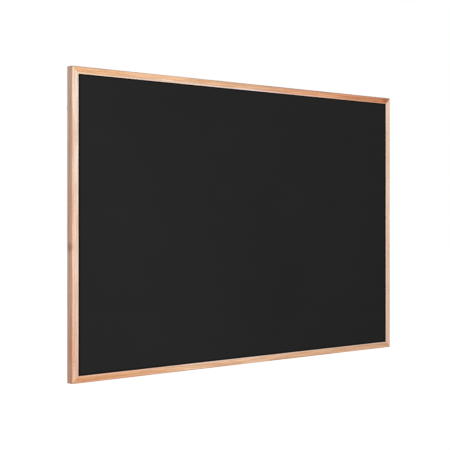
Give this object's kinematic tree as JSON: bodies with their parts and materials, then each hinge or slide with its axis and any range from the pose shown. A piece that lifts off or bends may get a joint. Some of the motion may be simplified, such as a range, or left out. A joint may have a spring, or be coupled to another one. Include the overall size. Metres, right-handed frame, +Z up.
{
  "type": "chalkboard",
  "caption": "Landscape wall chalkboard: a black chalk-lacquered panel in a slim mitred light wood frame, with folding hanging rings and wall bumpers on its back.",
  "frame": {"origin": "on the wall plane, midway between the hinge lines of the two hanging rings; the wall plane is the outer face of the four bumpers", "axes": "+Z up, +Y into the wall, -Y out of the writing face, +X to the right as seen from the front"},
  "size_m": [0.9, 0.022, 0.6],
  "materials": {
    "frame_wood": "satin clear-coated light oak, grain along each member",
    "chalk_lacquer": "hardboard with black matt chalk lacquer, wiped clean",
    "core_fibre": "raw soft fibre board",
    "backing_board": "raw brown hardboard, mesh-marked",
    "nail_steel": "blued spring steel strip",
    "zinc_steel": "bright zinc-plated steel",
    "bumper_rubber": "dark grey matt rubber"
  },
  "bodies": {
    "board": {"frame_top_rail": "frame_wood", "frame_bottom_rail": "frame_wood", "frame_left_stile": "frame_wood", "frame_right_stile": "frame_wood", "writing_panel": "chalk_lacquer", "core_board": "core_fibre", "backing_board": "backing_board", "corner_nail_top_right_outer": "nail_steel", "corner_nail_top_right_inner": "nail_steel", "corner_nail_top_left_outer": "nail_steel", "corner_nail_top_left_inner": "nail_steel", "corner_nail_bottom_left_outer": "nail_steel", "corner_nail_bottom_left_inner": "nail_steel", "corner_nail_bottom_right_outer": "nail_steel", "corner_nail_bottom_right_inner": "nail_steel", "hanger_strap_left": "zinc_steel", "hanger_strap_right": "zinc_steel", "strap_screw_left_upper": "zinc_steel", "strap_screw_left_lower": "zinc_steel", "strap_screw_right_upper": "zinc_steel", "strap_screw_right_lower": "zinc_steel", "wall_bumper_top_right": "bumper_rubber", "wall_bumper_top_left": "bumper_rubber", "wall_bumper_bottom_left": "bumper_rubber", "wall_bumper_bottom_right": "bumper_rubber"},
    "left_ring": {"hanger_ring_left": "zinc_steel"},
    "right_ring": {"hanger_ring_right": "zinc_steel"}
  },
  "joints": [
    {"name": "left_ring_fold", "type": "hinge", "parent": "board", "child": "left_ring", "pos_m": [-0.443, -0.00215, 0], "axis": [1, 0, 0], "range_deg": [0, 180]},
    {"name": "right_ring_fold", "type": "hinge", "parent": "board", "child": "right_ring", "pos_m": [0.443, -0.00215, 0], "axis": [1, 0, 0], "range_deg": [0, 180]}
  ]
}
